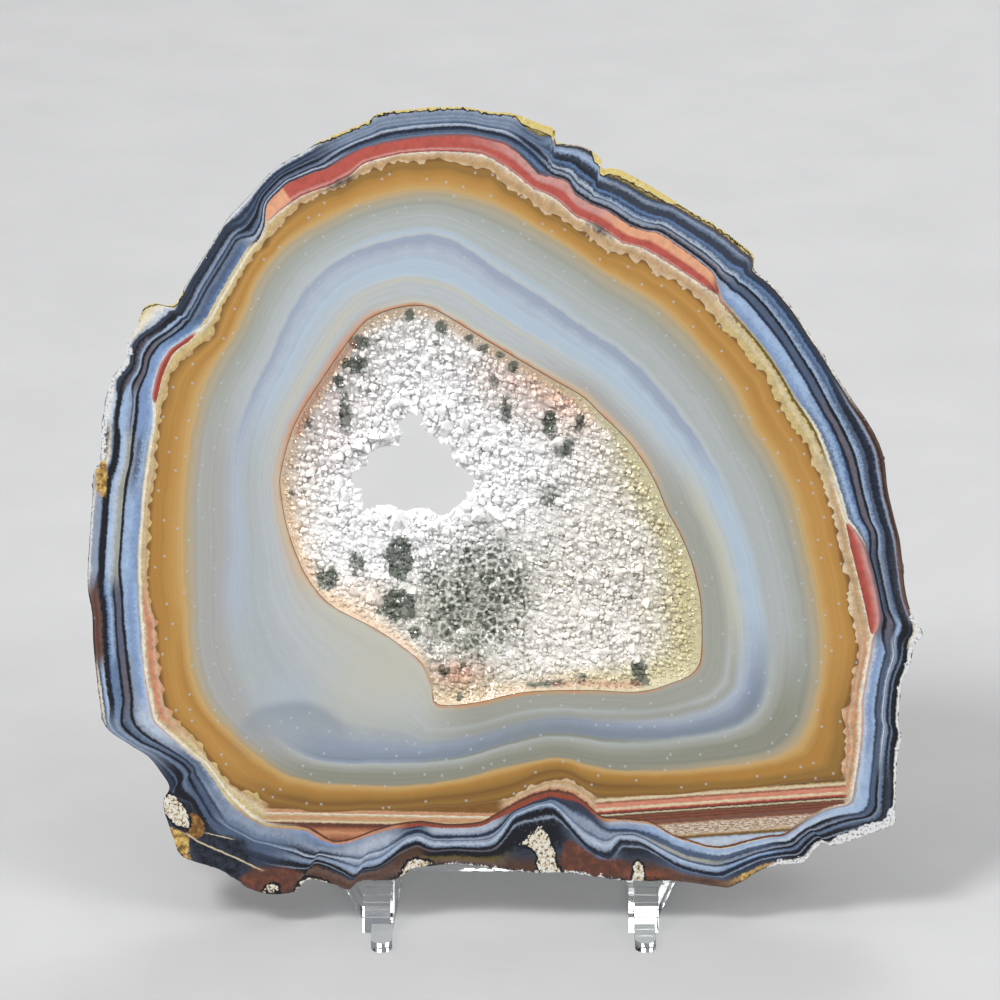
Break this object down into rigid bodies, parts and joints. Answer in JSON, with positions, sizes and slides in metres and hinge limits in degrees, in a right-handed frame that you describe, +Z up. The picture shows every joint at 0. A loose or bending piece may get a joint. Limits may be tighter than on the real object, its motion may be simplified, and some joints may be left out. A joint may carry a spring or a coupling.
{
  "type": "brazilian agate slab on an easel",
  "caption": "Polished slice of banded agate with a crystal-lined cavity and a hole through it, leaning back on a small clear easel.",
  "frame": {"origin": "middle of the underside, on the surface that the easel stands on", "axes": "+Z up, +X across the slab to the right as seen from the front, -Y to the front that the slab's face looks at"},
  "size_m": [0.1194, 0.053, 0.1107],
  "materials": {
    "agate": "banded blue, red, amber and grey, polished on both cut faces, rough on the rim",
    "quartz_druse": "small clear to white quartz crystals with green and pink spots",
    "clear_acrylic": "clear moulded plastic, glossy"
  },
  "bodies": {
    "root": {"agate_slab": "agate", "druse_crust": "quartz_druse", "stand_left_leg": "clear_acrylic", "stand_right_leg": "clear_acrylic", "stand_crossbar": "clear_acrylic"}
  },
  "joints": []
}
